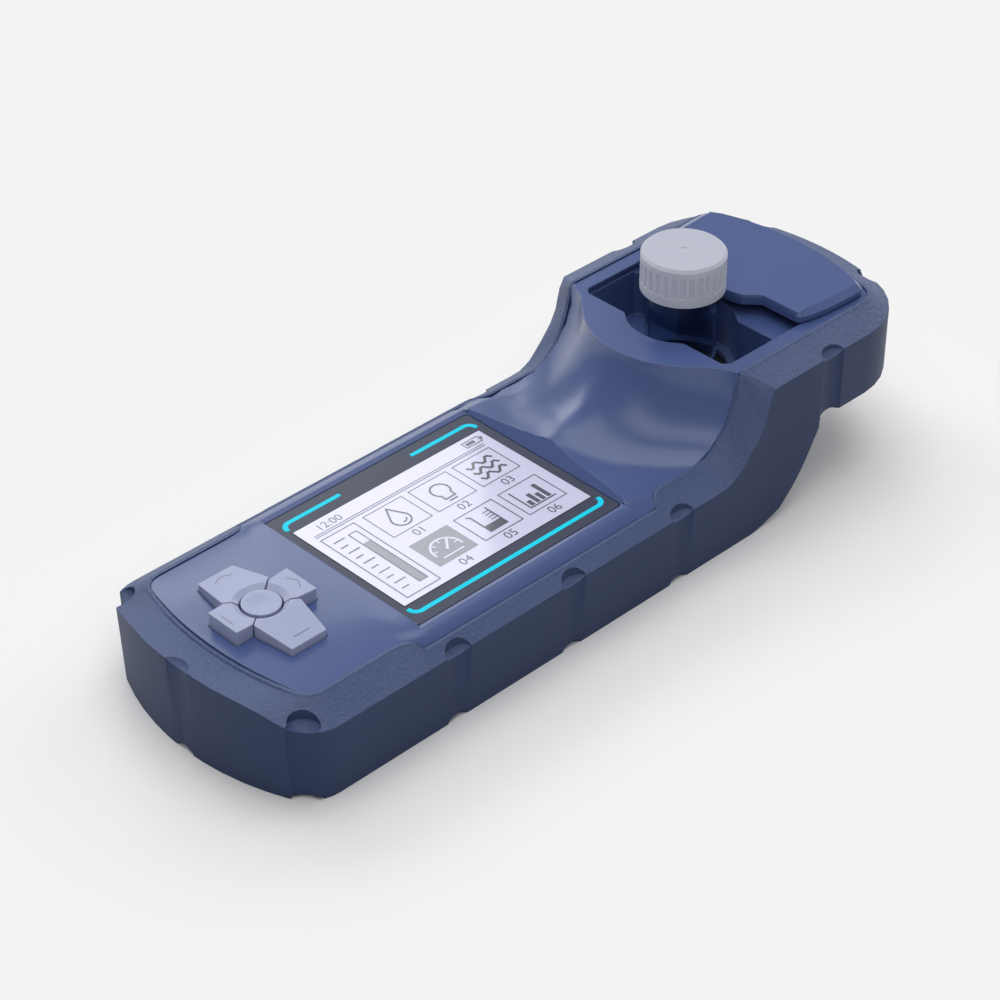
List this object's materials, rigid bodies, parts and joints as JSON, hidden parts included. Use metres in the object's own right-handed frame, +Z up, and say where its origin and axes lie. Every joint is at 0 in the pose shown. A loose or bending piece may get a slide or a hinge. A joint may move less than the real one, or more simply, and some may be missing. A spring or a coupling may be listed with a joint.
{
  "type": "portable water analyzer",
  "caption": "Handheld water photometer with rubber bumper, lit display, cross keypad, and a vial well under a sliding cover in its raised head.",
  "frame": {"origin": "middle of the length and width, on the table under the bumper", "axes": "+Z up, +Y from the nose with the keypad to the raised head, +X to the user's right"},
  "size_m": [0.088, 0.2648, 0.0774],
  "materials": {
    "boot": "fine leather grain on the slope, smooth sides",
    "housing": "glossy",
    "lower": "satin",
    "slate": "smooth",
    "glass": "clear",
    "screen": "lit display",
    "key": "satin",
    "cap": "satin",
    "dark": "matte",
    "rubber": "matte",
    "board": "satin",
    "steel": "plated",
    "cell": "smooth wrap",
    "ribbon": "satin",
    "water": "clear water"
  },
  "bodies": {
    "instrument": {"bumper_boot": "boot", "top_housing": "housing", "bottom_housing": "lower", "housing_gasket": "rubber", "display_bezel": "slate", "display_glass": "glass", "lcd_panel": "screen", "backlight_tray": "cap", "key_mat": "ribbon", "well_block": "dark", "lamp_1": "glass", "lamp_2": "glass", "lamp_3": "glass", "sensor_1": "dark", "sensor_2": "dark", "sensor_board": "board", "lamp_board": "board", "battery_cell_1": "cell", "battery_cell_2": "cell", "battery_cell_3": "cell", "battery_cell_4": "cell", "battery_holder": "dark", "battery_contact_front": "steel", "battery_contact_rear": "steel", "main_board": "board", "ribbon_cable": "ribbon", "housing_screw_1": "steel", "housing_screw_2": "steel", "housing_screw_3": "steel", "housing_screw_4": "steel"},
    "key_right": {"key_right": "key"},
    "key_left": {"key_left": "key"},
    "key_up": {"key_up": "key"},
    "key_down": {"key_down": "key"},
    "key_centre": {"key_centre": "key"},
    "cover": {"sliding_cover": "housing", "cover_guide_right": "dark", "cover_guide_left": "dark"},
    "vial": {"vial_glass": "glass", "water_sample": "water"},
    "liner": {"cap_liner": "rubber"},
    "cap": {"vial_cap": "cap"},
    "door": {"battery_door": "lower", "door_seal": "rubber", "door_screw_right": "steel", "door_screw_left": "steel"}
  },
  "joints": [
    {"name": "key_right_press", "type": "slide", "parent": "instrument", "child": "key_right", "axis": [0, 0, -1], "range_m": [0, 0.0008], "stiffness_N_per_m": 1500},
    {"name": "key_left_press", "type": "slide", "parent": "instrument", "child": "key_left", "axis": [0, 0, -1], "range_m": [0, 0.0008], "stiffness_N_per_m": 1500},
    {"name": "key_up_press", "type": "slide", "parent": "instrument", "child": "key_up", "axis": [0, 0, -1], "range_m": [0, 0.0008], "stiffness_N_per_m": 1500},
    {"name": "key_down_press", "type": "slide", "parent": "instrument", "child": "key_down", "axis": [0, 0, -1], "range_m": [0, 0.0008], "stiffness_N_per_m": 1500},
    {"name": "key_centre_press", "type": "slide", "parent": "instrument", "child": "key_centre", "axis": [0, 0, -1], "range_m": [0, 0.0008], "stiffness_N_per_m": 1500},
    {"name": "cover_slide", "type": "slide", "parent": "instrument", "child": "cover", "axis": [0, -1, 0], "range_m": [0, 0.0024]},
    {"name": "vial_lift", "type": "slide", "parent": "instrument", "child": "vial", "axis": [0, 0, 1], "range_m": [-0.023, 0.022]},
    {"name": "cap_rise", "type": "slide", "parent": "vial", "child": "liner", "axis": [0, 0, 1], "range_m": [0, 0.0032]},
    {"name": "cap_twist", "type": "hinge", "parent": "liner", "child": "cap", "pos_m": [0, 0.0672, 0.065], "axis": [0, 0, 1], "range_deg": [0, 450]},
    {"name": "door_drop", "type": "slide", "parent": "instrument", "child": "door", "axis": [0, 0, -1], "range_m": [0, 0.02]}
  ],
  "couplings": [
    {"joint": "cap_rise", "follows": "cap_twist", "m_per_rad": 0.00040744}
  ]
}
